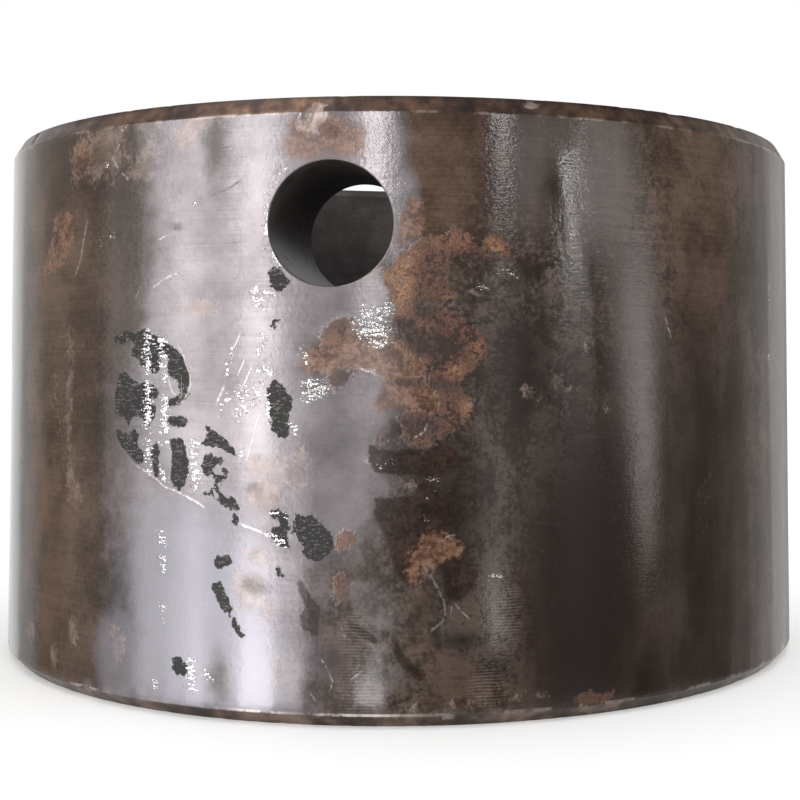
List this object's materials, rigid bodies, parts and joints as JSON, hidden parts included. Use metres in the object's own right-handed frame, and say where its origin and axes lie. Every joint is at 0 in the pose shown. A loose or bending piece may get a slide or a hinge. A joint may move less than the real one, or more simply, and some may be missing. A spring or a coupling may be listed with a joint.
{
  "type": "bushing",
  "caption": "Thick-walled cylindrical steel bushing with a plain through bore, chamfered ends and a drilled hole through the wall near one end; worn, stained and rusty.",
  "frame": {"origin": "centre of the lower end face, on the axis of the bore", "axes": "+Z along the axis of the bore towards the end near the drilled hole, -Y out of the drilled hole"},
  "size_m": [0.1, 0.1, 0.062],
  "materials": {
    "stained_steel": "ground steel under a brown oil film, with black stains, light rust and bare bright patches"
  },
  "bodies": {
    "root": {"bushing": "stained_steel"}
  },
  "joints": []
}
